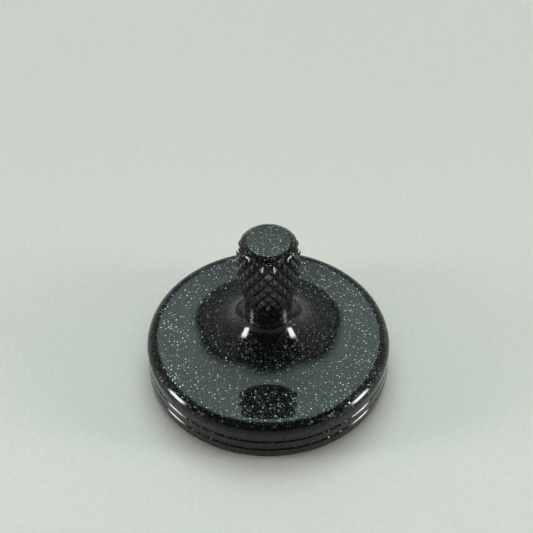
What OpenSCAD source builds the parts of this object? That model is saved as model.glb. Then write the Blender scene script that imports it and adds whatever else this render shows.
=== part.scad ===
// Spinning top: a thick flywheel with a knurled finger grip on its hub and a
// ceramic ball in a screwed holder as its contact tip.
// The spin axis is Z. The origin is the point where the ball meets the table.

/* [Flywheel] */
// Diameter of the flywheel
wheel_d = 32; // [30:0.5:40]
// Height of the rim, from its lower edge to the flat face
rim_h = 5.8; // [5.6:0.1:8]
// Rounding of the rim's upper edge
rim_round = 1.6; // [0.4:0.1:1.8]
// Rounding of the rim's lower edge
foot_round = 0.3; // [0.1:0.1:0.6]
// Height of the hub above the flat face
hub_h = 4.3; // [3.6:0.1:4.4]
// Radius at which the hub's sweep runs out into the flat face
hub_foot_r = 10.9; // [10.8:0.1:11.8]
// Half width of the ellipse that shapes the hub's concave side
sweep_w = 8; // [7.8:0.1:8]
// Half height of that ellipse
sweep_h = 6.1; // [5.8:0.1:7]
// Depth of the two grooves round the rim
groove_depth = 0.2; // [0.1:0.05:0.5]
// Distance between the two grooves
groove_pitch = 1.5; // [1.2:0.1:1.7]
// Depth of the hollow turned into the underside
dish_depth = 1.4; // [0.6:0.1:1.8]

/* [Grip] */
// Diameter of the smooth neck
neck_d = 6.3; // [5.8:0.1:6.6]
// Length of the smooth neck between the hub and the knurling
neck_len = 2.9; // [1.5:0.1:4]
// Diameter over the knurl's crests
grip_d = 8.3; // [8:0.1:10]
// Length of the knurling
knurl_len = 9.26; // [9:0.02:14]
// Knurl grooves round the grip in each direction
knurl_starts = 18; // [16:1:24]
// Depth of the knurl's grooves
knurl_depth = 0.46; // [0.2:0.02:0.5]
// Diameter of the flat on the grip's end
cap_d = 5.6; // [4.8:0.1:6]
// Height of the bevel between that flat and the knurling
bevel_h = 0.64; // [0.4:0.02:1]

/* [Tip] */
// Diameter of the ceramic ball
ball_d = 3.175; // [3:0.025:3.4]
// How far the ball stands below the rim's lower edge
tip_drop = 1.2; // [1.1:0.1:1.5]
// Diameter of the tip holder's flange
flange_d = 6.8; // [6.6:0.1:7.4]
// Thickness of the tip holder's flange
flange_h = 1; // [0.8:0.1:1.2]
// Length of the tip holder's threaded shank
shank_len = 2.5; // [2:0.1:2.6]

/* [Stud] */
// Outside diameter of the stud's and the holder's threads
thread_d = 3.9; // [3.8:0.05:3.9]
// Length of the stud that joins the grip to the flywheel
stud_len = 10; // [8:1:10]

/* [Hidden] */
$fn = 128;
// Overshoot of a cutter beyond the face that it opens
cut = 0.5;

wheel_r = wheel_d / 2;
foot_z = tip_drop;
face_z = foot_z + rim_h;
hub_z = face_z + hub_h;
// The sweep is let into the face by this much, so that the two meet at a clean edge
sweep_bite = 0.003;

// V grooves: the upper one lies this far below the flat face
groove_top = 2.75;
groove_zs = [face_z - groove_top, face_z - groove_top - groove_pitch];

// Tapped hole that the stud and the holder share, and the seats at its two ends
tapped_r = 2;
spigot_r = 2.6;
spigot_h = 1;
fit_gap = 0.05;
flange_r = flange_d / 2;
flange_inset = 0.2;
flange_z = foot_z + flange_inset;
seat_z = flange_z + flange_h;

// The dish runs between the boss round the tip and the land under the rim
boss_r = 5;
land_w = 3;

neck_r = neck_d / 2;
grip_r = grip_d / 2;
knurl_z = hub_z + neck_len;
knurl_top = knurl_z + knurl_len;
bevel_r = 3.6;
// The cap's bevel starts on a short collar that is sunk into the knurling
collar_h = 0.3;
// Shape of the grip's barrel: how far each end draws in, and over what length
low_draw = 0.96;
low_len = 4.8;
high_draw = 0.48;
high_len = 2.6;
knurl_rows = 9;
// Least thickness of the knurling over the neck and the collar
skin = 0.03;

// The stud starts just above the holder's shank, and its hole in the grip is a little deeper than it needs
stud_r = thread_d / 2;
stud_gap = 0.7;
hole_spare = 0.6;
stud_z = seat_z + shank_len + stud_gap;
stud_hole_top = stud_z + stud_len + hole_spare;
socket_af = 2;
socket_depth = 2;
thread_chamfer = 0.4;

ball_r = ball_d / 2;
nose_z = 1;
nose_r = 2.3;
nose_low_r = 2.05;
spanner_hole_d = 0.8;
spanner_hole_depth = 0.6;
spanner_pitch_r = (nose_r + flange_r) / 2;

// Radius over the knurl's crests at height z
function crest_r(z) = let(
    low = max(0, knurl_z + low_len - z) / low_len,
    high = max(0, z - knurl_top + high_len) / high_len)
    grip_r - low_draw * pow(low, 1.5) - high_draw * pow(high, 2);

// Radius at which the knurling runs out, just clear of the neck and of the cap's collar
function root_r(z) = neck_r + (bevel_r - neck_r) * (z - knurl_z) / knurl_len + skin;

// Radius at the knurl's groove crossings
function valley_r(z) = max(crest_r(z) - knurl_depth, root_r(z));

// A disc's outline with both of its edges rounded, for rotate_extrude
module rounded_rim() {
    translate([0, foot_z]) square([wheel_r - rim_round, rim_h]);
    translate([0, foot_z]) square([wheel_r - foot_round, rim_h - rim_round]);
    translate([0, foot_z + foot_round]) square([wheel_r, rim_h - rim_round - foot_round]);
    translate([wheel_r - rim_round, face_z - rim_round]) circle(rim_round);
    translate([wheel_r - foot_round, foot_z + foot_round]) circle(foot_round);
}

module hub_outline() {
    difference() {
        translate([0, face_z - cut]) square([hub_foot_r, hub_h + cut]);
        translate([hub_foot_r, face_z + sweep_h - sweep_bite])
            scale([sweep_w / sweep_h, 1]) circle(sweep_h);
    }
}

// The hollow in the underside: a flat-bottomed trough with quarter-round sides
module dish_outline() {
    inner = boss_r + dish_depth;
    outer = wheel_r - land_w - dish_depth;
    translate([inner, foot_z - cut]) square([outer - inner, dish_depth + cut]);
    for (r = [inner, outer]) translate([r, foot_z]) circle(dish_depth);
}

module groove_outlines() {
    for (z = groove_zs)
        translate([wheel_r, z]) rotate(45) square(groove_depth * sqrt(2), center = true);
}

module axis_holes_outline() {
    translate([0, foot_z - cut]) square([flange_r + fit_gap, seat_z - foot_z + cut]);
    translate([0, foot_z]) square([tapped_r, hub_z]);
    translate([0, hub_z - spigot_h - fit_gap]) square([spigot_r + fit_gap, spigot_h + cut]);
}

module flywheel() {
    color([0.03, 0.035, 0.04])
    rotate_extrude() difference() {
        union() {
            rounded_rim();
            hub_outline();
        }
        dish_outline();
        groove_outlines();
        axis_holes_outline();
    }
}

// Diamond knurl: rings of points that alternate between a crest and a groove crossing,
// each ring turned by one point from the last, so that the grooves run as two helices.
// The first and last rings are plain, because the knurling runs out there
module knurl() {
    ring = 2 * knurl_starts;
    row_h = knurl_len / knurl_rows;
    points = [for (row = [0:knurl_rows], k = [0:ring - 1]) let(
        z = knurl_z + row * row_h,
        plain = row == 0 || row == knurl_rows,
        r = plain ? root_r(z) : (row + k) % 2 == 0 ? valley_r(z) : crest_r(z),
        a = k * 360 / ring)
        [r * cos(a), r * sin(a), z]];
    function at(row, k) = row * ring + k % ring;
    sides = [for (row = [0:knurl_rows - 1], k = [0:ring - 1]) each
        (row + k) % 2 == 0
            ? [[at(row, k), at(row + 1, k), at(row + 1, k + 1)],
               [at(row, k), at(row + 1, k + 1), at(row, k + 1)]]
            : [[at(row, k), at(row + 1, k), at(row, k + 1)],
               [at(row, k + 1), at(row + 1, k), at(row + 1, k + 1)]]];
    bottom = [for (k = [0:ring - 1]) k];
    top = [for (k = [ring - 1:-1:0]) at(knurl_rows, k)];
    polyhedron(points, concat(sides, [bottom, top]));
}

module grip_stem() {
    color([0.07, 0.068, 0.065])
    difference() {
        union() {
            translate([0, 0, hub_z - spigot_h]) cylinder(r = spigot_r, h = spigot_h + cut);
            translate([0, 0, hub_z]) cylinder(r = neck_r, h = neck_len + cut);
            translate([0, 0, knurl_top - collar_h]) cylinder(r = bevel_r, h = collar_h);
            translate([0, 0, knurl_top]) cylinder(r1 = bevel_r, r2 = cap_d / 2, h = bevel_h);
            knurl();
        }
        translate([0, 0, hub_z - spigot_h - cut])
            cylinder(r = tapped_r, h = stud_hole_top - hub_z + spigot_h + cut);
    }
}

// Headless stud with a chamfer at each end and a hex socket in the lower one
module stud() {
    color([0.5, 0.5, 0.52])
    difference() {
        translate([0, 0, stud_z]) {
            cylinder(r1 = stud_r - thread_chamfer, r2 = stud_r, h = thread_chamfer);
            translate([0, 0, thread_chamfer]) cylinder(r = stud_r, h = stud_len - 2 * thread_chamfer);
            translate([0, 0, stud_len - thread_chamfer])
                cylinder(r1 = stud_r, r2 = stud_r - thread_chamfer, h = thread_chamfer);
        }
        translate([0, 0, stud_z - cut])
            cylinder(d = socket_af / cos(30), h = socket_depth + cut, $fn = 6);
    }
}

// Screwed holder: flange with two spanner holes, threaded shank, and a nose with the ball's cup
module tip_holder() {
    color([0.62, 0.62, 0.63])
    difference() {
        union() {
            translate([0, 0, nose_z]) cylinder(r1 = nose_low_r, r2 = nose_r, h = flange_z - nose_z);
            translate([0, 0, flange_z]) cylinder(r = flange_r, h = flange_h);
            translate([0, 0, seat_z]) cylinder(r = stud_r, h = shank_len - thread_chamfer);
            translate([0, 0, seat_z + shank_len - thread_chamfer])
                cylinder(r1 = stud_r, r2 = stud_r - thread_chamfer, h = thread_chamfer);
        }
        translate([0, 0, ball_r]) sphere(ball_r);
        translate([0, 0, nose_z - cut]) cylinder(r = ball_r, h = ball_r - nose_z + cut);
        for (side = [-1, 1])
            translate([side * spanner_pitch_r, 0, flange_z - cut])
                cylinder(d = spanner_hole_d, h = spanner_hole_depth + cut);
    }
}

module tip_ball() {
    color([0.93, 0.92, 0.88])
    translate([0, 0, ball_r]) sphere(ball_r);
}

flywheel();
grip_stem();
stud();
tip_holder();
tip_ball();
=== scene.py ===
"""Looks of the spinning top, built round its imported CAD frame. Lengths are in metres.

The flywheel and the grip are turned again here as fine meshes with softened edges and a
crisp diamond knurl. The stud, the tip holder and the ball are the CAD nodes themselves.
"""

import math

import bpy
import numpy as np
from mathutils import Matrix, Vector


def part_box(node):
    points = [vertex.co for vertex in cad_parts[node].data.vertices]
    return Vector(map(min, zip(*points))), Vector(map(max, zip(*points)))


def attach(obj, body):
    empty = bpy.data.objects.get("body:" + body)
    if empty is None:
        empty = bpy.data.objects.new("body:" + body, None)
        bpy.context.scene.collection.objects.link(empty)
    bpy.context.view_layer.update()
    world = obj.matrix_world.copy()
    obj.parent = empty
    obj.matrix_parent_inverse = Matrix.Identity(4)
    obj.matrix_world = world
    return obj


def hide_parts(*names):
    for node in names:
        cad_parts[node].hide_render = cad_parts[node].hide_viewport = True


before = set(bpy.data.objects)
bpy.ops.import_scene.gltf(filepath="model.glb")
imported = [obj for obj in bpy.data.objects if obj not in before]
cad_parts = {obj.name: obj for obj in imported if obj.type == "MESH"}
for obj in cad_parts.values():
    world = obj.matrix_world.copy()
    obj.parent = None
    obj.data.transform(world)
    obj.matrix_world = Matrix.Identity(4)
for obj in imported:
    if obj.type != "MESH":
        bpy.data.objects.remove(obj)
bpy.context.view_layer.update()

MM = 0.001

# Places read from the frame
wheel_low, wheel_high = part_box("flywheel")
stem_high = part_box("grip_stem")[1]
stud_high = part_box("stud")[1]
holder_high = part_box("tip_holder")[1]
WHEEL_R = min(wheel_high.x, wheel_high.y, -wheel_low.y)
FOOT_Z = wheel_low.z
HUB_Z = wheel_high.z
GRIP_R = stem_high.x
CAP_Z = stem_high.z

# Flywheel outline
HUB_H = 4.3 * MM
FACE_Z = HUB_Z - HUB_H
RIM_ROUND = 1.6 * MM
FOOT_ROUND = 0.3 * MM
HUB_FOOT_R = 10.9 * MM
SWEEP_W = 8 * MM
SWEEP_H = 6.1 * MM
GROOVE_DEPTH = 0.2 * MM
GROOVE_BELOW_FACE = (2.75 * MM, 4.25 * MM)
LAND_W = 3 * MM
DISH_DEPTH = 1.4 * MM
BOSS_R = 5 * MM
TAPPED_R = 2 * MM
SPIGOT_R = 2.6 * MM
SPIGOT_H = 1 * MM
FIT_GAP = 0.05 * MM
SEAT_R = holder_high.x + FIT_GAP
SEAT_DEPTH = 1.2 * MM
SEAT_Z = FOOT_Z + SEAT_DEPTH

# Grip outline
NECK_R = 3.15 * MM
NECK_LEN = 2.9 * MM
KNURL_LEN = 9.26 * MM
KNURL_Z = HUB_Z + NECK_LEN
KNURL_TOP = KNURL_Z + KNURL_LEN
CAP_R = 2.8 * MM
BEVEL_ROUND = 2.19 * MM
BEVEL_START = math.radians(25)
STUD_HOLE_SPARE = 0.6 * MM
BORE_TOP = stud_high.z + STUD_HOLE_SPARE
LOW_DRAW, LOW_LEN = 0.96 * MM, 4.8 * MM
HIGH_DRAW, HIGH_LEN = 0.4 * MM, 2.6 * MM

# Knurl: its relief runs from GROOVE_FILL in the grooves to 1 on the crests
KNURL_STARTS = 18
KNURL_PITCH = KNURL_LEN / 4.5
KNURL_PHASE = 0.6
KNURL_DEPTH = 0.5 * MM
BLUNT_FROM = 0.8
GROOVE_FILL = 0.06
COATED_SLOPE = 0.5  # slope of the blunted crests and the filled grooves, against the V's flanks

# The coat softens the turned edges by this much
EDGE = 0.1 * MM
SOFT_EDGE = 0.6 * EDGE
CRISP_EDGE = 0.5 * EDGE
HUB_EDGE = 0.4 * EDGE
DISH_ROUND = DISH_DEPTH - 1.2 * EDGE

# Fineness of the meshes
WHEEL_COLUMNS = 320
SWEEP_POINTS = 90
HUB_EDGE_POINTS = 3  # points of the sweep that the rounding of the hub's edge takes the place of
COLUMNS_PER_START = 30
ROWS_PER_PITCH = 26
BEVEL_RINGS = 13
FLOOR_COLUMNS = 96
ARC_STEPS = 10
ARC_STEP_LEN = 0.12 * MM
ARC_HOLD = 0.02 * MM

# Coat
CREST_PAINTED_HIGHLIGHT = (0.009, 0.0095, 0.007, 1)  # painted highlight: the coat's colour on the knurl's crests, lighter than in the grooves, standing in for the light the crests catch
SILVER = (0.86, 0.88, 0.88, 1)
COARSE_SHARE, COARSE_SOFTNESS = 0.95, 0.26
FINE_FLAKE, FINE_SHARE, FINE_LIGHT = 0.16 * MM, 0.75, 0.26
FINE_SOFTNESS = 0.12
FLAKE_TILT = 0.55


# ---------------------------------------------------------------- outlines and meshes

def rounded(corners, closed=True):
    """Points of an outline of (r, z, radius) corners, each rounded by an arc of its radius.
    A point just before and just after each arc keeps the smooth shading off the straight parts."""
    points = []
    count = len(corners)
    for i, (r, z, radius) in enumerate(corners):
        here = Vector((r, z))
        if radius == 0 or (not closed and i in (0, count - 1)):
            points.append(here)
            continue
        before = (Vector(corners[i - 1][:2]) - here).normalized()
        after = (Vector(corners[(i + 1) % count][:2]) - here).normalized()
        half = before.angle(after) / 2
        reach = radius / math.tan(half)
        start = here + before * reach
        end = here + after * reach
        middle = here + (before + after).normalized() * radius / math.sin(half)
        a = start - middle
        b = end - middle
        turn = a.angle(b)
        steps = max(ARC_STEPS, int(turn * radius / ARC_STEP_LEN))
        hold = min(ARC_HOLD, 0.2 * reach)
        points.append(start + before * hold)
        for k in range(steps + 1):
            s = k / steps
            arm = (math.sin((1 - s) * turn) * a + math.sin(s * turn) * b) / math.sin(turn)
            points.append(middle + arm)
        points.append(end + after * hold)
    return [(p.x, p.y) for p in points]


def link(name, mesh):
    """A new object of this mesh in the scene."""
    piece = bpy.data.objects.new(name, mesh)
    bpy.context.scene.collection.objects.link(piece)
    return piece


def grid_mesh(name, rings, closed):
    """A mesh of rings of points. Closed joins the last ring to the first; a ring of one point is a pole."""
    verts, faces, starts = [], [], []
    for ring in rings:
        starts.append(len(verts))
        verts.extend(ring)
    pairs = list(zip(range(len(rings)), range(1, len(rings))))
    if closed:
        pairs.append((len(rings) - 1, 0))
    columns = max(len(ring) for ring in rings)
    for i, j in pairs:
        pole_i, pole_j = len(rings[i]) == 1, len(rings[j]) == 1
        for k in range(columns):
            n = (k + 1) % columns
            a, b = starts[i] + (0 if pole_i else k), starts[i] + (0 if pole_i else n)
            c, d = starts[j] + (0 if pole_j else n), starts[j] + (0 if pole_j else k)
            faces.append([a, b, c] if pole_j else [a, c, d] if pole_i else [a, b, c, d])
    mesh = bpy.data.meshes.new(name)
    mesh.from_pydata(verts, [], faces)
    mesh.validate()
    return link(name, mesh)


def shade(piece, sharp_degrees):
    """Smooth shading, with the edges sharper than this angle kept sharp."""
    mesh = piece.data
    mesh.polygons.foreach_set("use_smooth", [True] * len(mesh.polygons))
    mesh.set_sharp_from_angle(angle=math.radians(sharp_degrees))


def ring_angles(columns):
    return np.arange(columns) * 2 * math.pi / columns


def circle_ring(r, z, columns):
    return [(r * math.cos(a), r * math.sin(a), z) for a in ring_angles(columns)]


def hub_side():
    """The hub's concave side, a piece of an ellipse, from its top edge down to the flat face."""
    steepest = math.acos(1 - HUB_H / SWEEP_H)
    return [(HUB_FOOT_R - SWEEP_W * math.sin(t), FACE_Z + SWEEP_H * (1 - math.cos(t)))
            for t in np.linspace(steepest, 0, SWEEP_POINTS)]


def make_flywheel():
    side = hub_side()
    corners = [
        (SPIGOT_R + FIT_GAP, HUB_Z, 0),
        (side[0][0], HUB_Z, HUB_EDGE),
    ]
    corners += [(r, z, 0) for r, z in side[HUB_EDGE_POINTS:]]
    corners.append((WHEEL_R, FACE_Z, RIM_ROUND))
    for below in GROOVE_BELOW_FACE:
        corners += [
            (WHEEL_R, FACE_Z - below + GROOVE_DEPTH, EDGE),
            (WHEEL_R - GROOVE_DEPTH, FACE_Z - below, SOFT_EDGE),
            (WHEEL_R, FACE_Z - below - GROOVE_DEPTH, EDGE),
        ]
    corners += [
        (WHEEL_R, FOOT_Z, FOOT_ROUND),
        (WHEEL_R - LAND_W, FOOT_Z, EDGE),
        (WHEEL_R - LAND_W, FOOT_Z + DISH_DEPTH, DISH_ROUND),
        (BOSS_R, FOOT_Z + DISH_DEPTH, DISH_ROUND),
        (BOSS_R, FOOT_Z, EDGE),
        (SEAT_R, FOOT_Z, EDGE),
        (SEAT_R, SEAT_Z, 0),
        (TAPPED_R, SEAT_Z, 0),
        (TAPPED_R, HUB_Z - SPIGOT_H - FIT_GAP, 0),
        (SPIGOT_R + FIT_GAP, HUB_Z - SPIGOT_H - FIT_GAP, 0),
    ]
    outline = rounded(corners)
    outline.reverse()
    rings = [circle_ring(r, z, WHEEL_COLUMNS) for r, z in outline]
    piece = grid_mesh("coated_flywheel", rings, closed=True)
    shade(piece, sharp_degrees=40)
    return piece


def bevel_radius(z):
    """Radius of the slightly domed bevel round the cap's flat."""
    rise = np.clip(math.cos(BEVEL_START) - (CAP_Z - z) / BEVEL_ROUND, 0, 1)
    return CAP_R + BEVEL_ROUND * (np.sin(np.arccos(rise)) - math.sin(BEVEL_START))


def knurl_skin(angle, z):
    """Radius and relief of the knurled skin: two families of V grooves, a little filled by the
    coat, cut into a barrel that the bevel trims."""
    low = np.clip(KNURL_Z + LOW_LEN - z, 0, None) / LOW_LEN
    high = np.clip(z - KNURL_TOP + HIGH_LEN, 0, None) / HIGH_LEN
    crest = GRIP_R - LOW_DRAW * low**1.5 - HIGH_DRAW * high**2
    turns = angle * KNURL_STARTS / (2 * math.pi)
    climb = (z - KNURL_Z) / KNURL_PITCH + KNURL_PHASE
    from_one = np.abs((turns + climb) % 1 - 0.5) * 2
    from_other = np.abs((turns - climb) % 1 - 0.5) * 2
    relief = 1 - np.maximum(from_one, from_other)
    highest = BLUNT_FROM + COATED_SLOPE * (1 - BLUNT_FROM)
    relief = np.minimum(relief, BLUNT_FROM + COATED_SLOPE * (relief - BLUNT_FROM)) / highest
    relief = np.maximum(relief, GROOVE_FILL + COATED_SLOPE * relief)
    knurled = crest - KNURL_DEPTH * (1 - relief)
    return np.minimum(np.maximum(knurled, NECK_R), bevel_radius(z)), relief


def make_grip():
    columns = KNURL_STARTS * COLUMNS_PER_START
    angles = ring_angles(columns)
    below = [
        (TAPPED_R, BORE_TOP, 0),
        (TAPPED_R, HUB_Z - SPIGOT_H, EDGE),
        (SPIGOT_R, HUB_Z - SPIGOT_H, EDGE),
        (SPIGOT_R, HUB_Z, 0),
        (NECK_R, HUB_Z, CRISP_EDGE),
        (NECK_R, KNURL_Z, 0),
    ]
    rings = [[(0, 0, BORE_TOP)]]
    rings += [circle_ring(r, z, columns) for r, z in rounded(below, closed=False)]
    reliefs = [0.0] * sum(len(ring) for ring in rings)
    rows = round(KNURL_LEN / KNURL_PITCH * ROWS_PER_PITCH)
    for row in range(1, rows):
        z = KNURL_Z + row * KNURL_LEN / rows
        radii, relief = knurl_skin(angles, z)
        rings.append([(r * math.cos(a), r * math.sin(a), z) for r, a in zip(radii, angles)])
        reliefs.extend(relief)
    bevel = [(float(bevel_radius(z)), z, 0) for z in np.linspace(KNURL_TOP, CAP_Z, BEVEL_RINGS + 1)[:-1]]
    above = rounded(bevel + [(CAP_R, CAP_Z, CRISP_EDGE), (0, CAP_Z, 0)], closed=False)[:-1]
    rings += [circle_ring(r, z, columns) for r, z in above]
    rings.append([(0, 0, CAP_Z)])
    piece = grid_mesh("knurled_grip", rings, closed=False)
    reliefs += [0.0] * (len(piece.data.vertices) - len(reliefs))
    knurled = [float(relief > 0) for relief in reliefs]
    for key, values in (("relief", reliefs), ("knurled", knurled)):
        piece.data.attributes.new(key, "FLOAT", "POINT").data.foreach_set("value", values)
    shade(piece, sharp_degrees=35)
    return piece


# ---------------------------------------------------------------- materials

class Nodes:
    """A short way to build the shader of a material or a world: each call adds a node and links
    or sets its inputs."""

    def __init__(self, owner):
        owner.use_nodes = True
        self.owner = owner
        self.tree = owner.node_tree
        self.shader = self.tree.nodes.get("Principled BSDF")

    def put(self, socket, value):
        if isinstance(value, bpy.types.NodeSocket):
            self.tree.links.new(value, socket)
        else:
            socket.default_value = value

    def add(self, kind, settings=None, **inputs):
        """A new node. An input goes by its socket's name, or by i and its number."""
        node = self.tree.nodes.new(kind)
        for key, value in (settings or {}).items():
            setattr(node, key, value)
        for key, value in inputs.items():
            numbered = key[0] == "i" and key[1:].isdigit()
            self.put(node.inputs[int(key[1:]) if numbered else key], value)
        return node

    def maths(self, operation, a, b=0.0, c=0.0, clamp=False):
        settings = {"operation": operation, "use_clamp": clamp}
        return self.add("ShaderNodeMath", settings, i0=a, i1=b, i2=c).outputs[0]

    def mix_colour(self, factor, a, b):
        node = self.add("ShaderNodeMix", {"data_type": "RGBA"}, i0=factor, i6=a, i7=b)
        return node.outputs[2]

    def fade(self, value, start, end, low=0.0):
        """A smooth climb from low to 1 while the value goes from start to end."""
        ramp = self.add("ShaderNodeMapRange", {"interpolation_type": "SMOOTHSTEP"}, Value=value)
        ramp.inputs["From Min"].default_value = start
        ramp.inputs["From Max"].default_value = end
        ramp.inputs["To Min"].default_value = low
        return ramp.outputs[0]

    def where(self):
        return self.add("ShaderNodeTexCoord").outputs["Object"]

    def split(self, vector):
        return self.add("ShaderNodeSeparateXYZ", i0=vector).outputs

    def noise(self, scale, detail):
        return self.add("ShaderNodeTexNoise", Vector=self.where(), Scale=scale, Detail=detail).outputs[0]

    def bump(self, strength, depth, height):
        return self.add("ShaderNodeBump", Strength=strength, Distance=depth, Height=height).outputs[0]

    def to_surface(self, closure):
        self.put(self.tree.nodes["Material Output"].inputs["Surface"], closure)


def new_material(name):
    return Nodes(bpy.data.materials.new(name))


def set_material(piece, material):
    piece.data.materials.clear()
    piece.data.materials.append(material)


def tone(base, share=1.0):
    """An opaque colour at this share of the base's brightness."""
    return tuple(share * c for c in base) + (1,)


def flakes(n, size, share, softness):
    """Metal flakes scattered in the coat: (mask, brightness, random vector) for flakes of this size."""
    cells = n.add("ShaderNodeTexVoronoi", {"voronoi_dimensions": "3D", "feature": "F1"},
                  Vector=n.where(), Scale=1 / size, Randomness=1.0)
    parts = n.add("ShaderNodeSeparateColor", i0=cells.outputs["Color"]).outputs
    radius = n.maths("MULTIPLY_ADD", parts[0], 0.18, 0.2)
    inside = n.maths("SUBTRACT", radius, cells.outputs["Distance"])
    disc = n.maths("DIVIDE", inside, softness, clamp=True)
    chosen = n.maths("LESS_THAN", parts[1], share)
    return n.maths("MULTIPLY", disc, chosen), parts[2], cells.outputs["Color"]


def flake_normal(n, random_colour, tilt):
    """The surface normal leant by a random amount, one way for each flake."""
    centred = n.add("ShaderNodeVectorMath", {"operation": "SUBTRACT"}, i0=random_colour, i1=(0.5, 0.5, 0.5))
    leant = n.add("ShaderNodeVectorMath", {"operation": "SCALE"}, i0=centred.outputs[0], Scale=tilt)
    surface = n.add("ShaderNodeNewGeometry").outputs["Normal"]
    summed = n.add("ShaderNodeVectorMath", {"operation": "ADD"}, i0=surface, i1=leant.outputs[0])
    return n.add("ShaderNodeVectorMath", {"operation": "NORMALIZE"}, i0=summed.outputs[0]).outputs[0]


def painted_top_light(n, on_walls):
    """Painted top light: 1 on the level faces, falling to on_walls on upright ones, so that the flakes'
    colour is brighter on faces that look up and darker on the walls.
    """
    up = n.split(n.add("ShaderNodeTexCoord").outputs["Normal"])[2]
    return n.fade(up, 0.5, 0.99, low=on_walls)


def glitter_coat(name, base, flake_size, level_light, wall_light, knurled=False):
    """Gloss black coat with coarse and fine silver flakes under a clear top layer."""
    n = new_material(name)
    coarse, coarse_light, coarse_random = flakes(n, flake_size, COARSE_SHARE, COARSE_SOFTNESS)
    fine, fine_light, _ = flakes(n, FINE_FLAKE, FINE_SHARE, FINE_SOFTNESS)
    # Painted top light: the flakes show brighter on faces that look up and darker on upright walls.
    painted_light_share = n.maths("MULTIPLY", painted_top_light(n, wall_light), level_light)
    coat_rough = 0.03
    if knurled:
        relief, rough = (n.add("ShaderNodeAttribute", {"attribute_name": key}).outputs["Fac"]
                         for key in ("relief", "knurled"))
        # Painted light: the base colour goes lighter on the knurl's crests than in its grooves, and more
        # flakes show on the crests and none in the grooves, standing in for lit crests and shaded grooves.
        base = n.mix_colour(n.fade(relief, 0.12, 0.6), base, CREST_PAINTED_HIGHLIGHT)
        crest_painted_light = n.maths("MULTIPLY_ADD", relief, 0.7, -0.4)
        painted_light_share = n.maths("MULTIPLY_ADD", rough, crest_painted_light, painted_light_share, clamp=True)
        coat_rough = n.maths("MULTIPLY_ADD", rough, 0.15, coat_rough)
    hue = n.add("ShaderNodeHueSaturation", Hue=0.5, Saturation=0.22, Value=1.0, Color=coarse_random)
    silver = n.mix_colour(0.75, hue.outputs[0], SILVER)
    bright = n.maths("MULTIPLY_ADD", n.maths("POWER", coarse_light, 2.0), 1.0, 0.08)
    coarse_amount = n.maths("MULTIPLY", coarse, bright)
    fine_amount = n.maths("MULTIPLY", n.maths("MULTIPLY", fine, fine_light), FINE_LIGHT)
    amount = n.maths("MULTIPLY", n.maths("MAXIMUM", coarse_amount, fine_amount), painted_light_share, clamp=True)
    n.put(n.shader.inputs["Base Color"], n.mix_colour(amount, base, silver))
    n.put(n.shader.inputs["Metallic"], coarse)
    n.shader.inputs["Roughness"].default_value = 0.3
    n.shader.inputs["Specular IOR Level"].default_value = 0.05
    n.put(n.shader.inputs["Normal"], flake_normal(n, coarse_random, FLAKE_TILT))
    n.shader.inputs["Coat Weight"].default_value = 1.0
    n.put(n.shader.inputs["Coat Roughness"], coat_rough)
    n.shader.inputs["Coat IOR"].default_value = 1.32
    n.put(n.shader.inputs["Coat Normal"], n.bump(0.25, 0.004 * MM, n.noise(700.0, 2.0)))
    return n.owner


def turned_steel(name, base, pitch):
    """Bare steel with the fine rings that a lathe leaves."""
    n = new_material(name)
    x, y, z = n.split(n.where())
    level = n.add("ShaderNodeCombineXYZ", i0=x, i1=y).outputs[0]
    radial = n.add("ShaderNodeVectorMath", {"operation": "LENGTH"}, i0=level).outputs["Value"]
    rings = n.maths("SINE", n.maths("MULTIPLY", n.maths("ADD", radial, z), 2 * math.pi / pitch))
    cloud = n.noise(1500.0, 4.0)
    n.put(n.shader.inputs["Base Color"], n.mix_colour(cloud, tone(base, 0.8), tone(base)))
    n.shader.inputs["Metallic"].default_value = 1.0
    n.put(n.shader.inputs["Roughness"], n.maths("MULTIPLY_ADD", cloud, 0.2, 0.18))
    n.put(n.shader.inputs["Normal"], n.bump(0.5, 0.004 * MM, rings))
    return n.owner


def ceramic(name, base):
    """Polished ceramic with a faint grain."""
    n = new_material(name)
    grain = n.noise(2500.0, 5.0)
    n.put(n.shader.inputs["Base Color"], n.mix_colour(grain, tone(base, 0.9), tone(base)))
    n.put(n.shader.inputs["Roughness"], n.maths("MULTIPLY_ADD", grain, 0.08, 0.06))
    n.shader.inputs["IOR"].default_value = 2.1
    return n.owner


def floor_cloth(name):
    """Pale cloth with a fine grain, faint clouds of painted fold shade, and painted shade that makes it a
    little darker at the back.
    Seen from below it's clear."""
    n = new_material(name)
    cloud = n.noise(9.0, 2.0)
    grain = n.noise(1500.0, 4.0)
    depth = n.split(n.where())[1]
    # Painted shade: the cloth is coloured darker and warmer behind the top, standing in for the light
    # falling off there.
    cloth_with_painted_back_shade = n.mix_colour(n.fade(depth, -0.03, 0.07), (0.80, 0.755, 0.715, 1), (0.755, 0.675, 0.64, 1))
    # Painted shade: faint grey clouds stand in for the shading of folds in the cloth.
    pale = n.mix_colour(n.maths("MULTIPLY", cloud, 0.2), cloth_with_painted_back_shade, (0.5, 0.5, 0.48, 1))
    dark = n.mix_colour(0.22, pale, (0.3, 0.3, 0.28, 1))
    n.put(n.shader.inputs["Base Color"], n.mix_colour(grain, dark, pale))
    n.shader.inputs["Roughness"].default_value = 0.95
    n.shader.inputs["Specular IOR Level"].default_value = 0.1
    n.put(n.shader.inputs["Normal"], n.bump(0.35, 0.05 * MM, grain))
    from_below = n.add("ShaderNodeNewGeometry").outputs["Backfacing"]
    clear = n.add("ShaderNodeBsdfTransparent").outputs[0]
    n.to_surface(n.add("ShaderNodeMixShader", i0=from_below, i1=n.shader.outputs[0], i2=clear).outputs[0])
    return n.owner


# ---------------------------------------------------------------- stage, lights, camera

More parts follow.
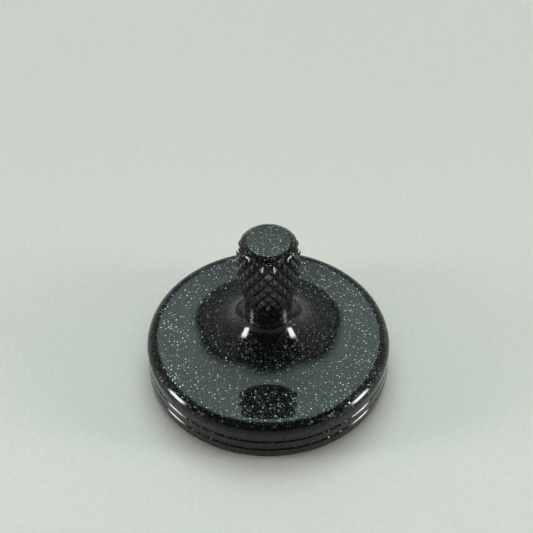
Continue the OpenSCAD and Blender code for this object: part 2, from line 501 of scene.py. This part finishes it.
def make_floor():
    """A round pale cloth. It shows from above only, so that the underside can be looked at."""
    rings = [[(0, 0, 0)]] + [circle_ring(r, 0, FLOOR_COLUMNS) for r in (0.05, 0.1, 0.2, 0.3, 0.45)]
    floor = grid_mesh("floor_cloth", rings, closed=False)
    floor.data.flip_normals()
    set_material(floor, floor_cloth("pale_cloth"))


def soft_panel(name, place, turn, size, margins, radiance, colour):
    """A glowing panel that fades towards its edges. Unturned, it lies flat with its width along X.
    The margins are the widths of the fade at its sides, at its -Y edge and at its +Y edge."""
    w, h = size
    side_fade, near_fade, far_fade = margins
    verts = [(-w / 2, -h / 2, 0), (w / 2, -h / 2, 0), (w / 2, h / 2, 0), (-w / 2, h / 2, 0)]
    mesh = bpy.data.meshes.new(name)
    mesh.from_pydata(verts, [], [(0, 3, 2, 1)])
    panel = link(name, mesh)
    panel.location = place
    panel.rotation_euler = turn
    panel.visible_camera = False
    n = new_material(name)
    x, y, _ = n.split(n.where())
    across = n.fade(n.maths("SUBTRACT", w / 2, n.maths("ABSOLUTE", x)), 0, side_fade)
    near = n.fade(n.maths("ADD", y, h / 2), 0, near_fade)
    far = n.fade(n.maths("SUBTRACT", h / 2, y), 0, far_fade)
    strength = n.maths("MULTIPLY", n.maths("MULTIPLY", across, near), n.maths("MULTIPLY", far, radiance))
    n.to_surface(n.add("ShaderNodeEmission", Color=tone(colour), Strength=strength).outputs[0])
    set_material(panel, n.owner)
    return panel


def make_room():
    """Dim surroundings: dark behind the camera, grey at the sides and the back, pale near the horizon."""
    world = bpy.data.worlds.new("room")
    bpy.context.scene.world = world
    n = Nodes(world)
    _, y, z = n.split(n.add("ShaderNodeTexCoord").outputs["Generated"])
    walls = n.mix_colour(n.fade(y, -0.2, 0.15), (0.04, 0.042, 0.04, 1), (0.36, 0.38, 0.35, 1))
    room = n.mix_colour(n.fade(z, 0.05, 0.22), (0.56, 0.57, 0.52, 1), walls)
    n.put(n.tree.nodes["Background"].inputs["Color"], room)


def make_ceiling():
    """A soft panel overhead that reaches from just in front of the top to far behind it."""
    width, near, far, height = 0.72, -0.1, 0.66, 0.6
    soft_panel("ceiling_panel", (0, (near + far) / 2, height), (0, 0, 0),
               (width, far - near), (0.2, 0.24, 0.12), 3.3, (0.76, 1.0, 0.96))


def make_side_lamps():
    """A tall lamp at each side, as two panels: a bright one that only shows in reflections,
    and a weaker one that only lights."""
    distance, width, height = 0.5, 0.19, 0.28
    forward = math.radians(11)
    for side in (-1, 1):
        place = (side * distance * math.cos(forward), -distance * math.sin(forward), 0.46 * height)
        turn = (math.pi / 2, 0, side * (math.pi / 2 - forward))
        for name, radiance in (("side_shine", 40), ("side_lamp", 18)):
            lamp = soft_panel(name, place, turn, (width, height), (0.06, 0.05, 0.1), radiance,
                              (0.97, 0.99, 1.0))
            lamp.visible_diffuse = name == "side_lamp"
            lamp.visible_glossy = name == "side_shine"
            lamp.visible_shadow = False


def make_fill():
    """A large soft lamp above the camera's side that shows in no reflection."""
    data = bpy.data.lights.new("fill", "AREA")
    data.shape = "RECTANGLE"
    data.size = 0.7
    data.size_y = 0.5
    data.energy = 1.15
    data.color = (0.97, 1.0, 0.92)
    lamp = link("fill", data)
    lamp.location = (0, -0.3, 0.5)
    lamp.rotation_euler = (math.radians(-30), 0, 0)
    lamp.visible_camera = False
    lamp.visible_glossy = False


def make_camera():
    """The photograph's viewpoint: close, looking down at the flat face."""
    distance, elevation, pitch = 0.2, math.radians(48.24), math.radians(45.74)
    aside = -0.24 * MM
    data = bpy.data.cameras.new("camera")
    data.lens = 102.6
    data.sensor_width = 36
    data.clip_start = 0.01
    camera = link("camera", data)
    camera.location = (aside, -distance * math.cos(elevation), FACE_Z + distance * math.sin(elevation))
    camera.rotation_euler = (math.pi / 2 - pitch, 0, 0)
    bpy.context.scene.camera = camera
    bpy.context.scene.view_settings.view_transform = "Standard"


# ---------------------------------------------------------------- the scene

make_camera()
make_ceiling()
make_side_lamps()
make_fill()
make_room()
make_floor()

flywheel = make_flywheel()
set_material(flywheel, glitter_coat("flywheel_glitter", (0.002, 0.0025, 0.0025, 1), 0.32 * MM, 0.8, 0.06))
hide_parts("flywheel")
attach(flywheel, "root")

grip = make_grip()
set_material(grip, glitter_coat("grip_glitter", (0.003, 0.003, 0.0026, 1), 0.26 * MM, 2.6, 0.1,
                                knurled=True))
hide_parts("grip_stem")
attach(grip, "root")

set_material(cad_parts["stud"], turned_steel("stud_steel", (0.42, 0.42, 0.43), 0.7 * MM))
set_material(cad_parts["tip_holder"], turned_steel("holder_steel", (0.6, 0.6, 0.6), 0.1 * MM))
set_material(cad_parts["tip_ball"], ceramic("ball_ceramic", (0.85, 0.84, 0.8)))
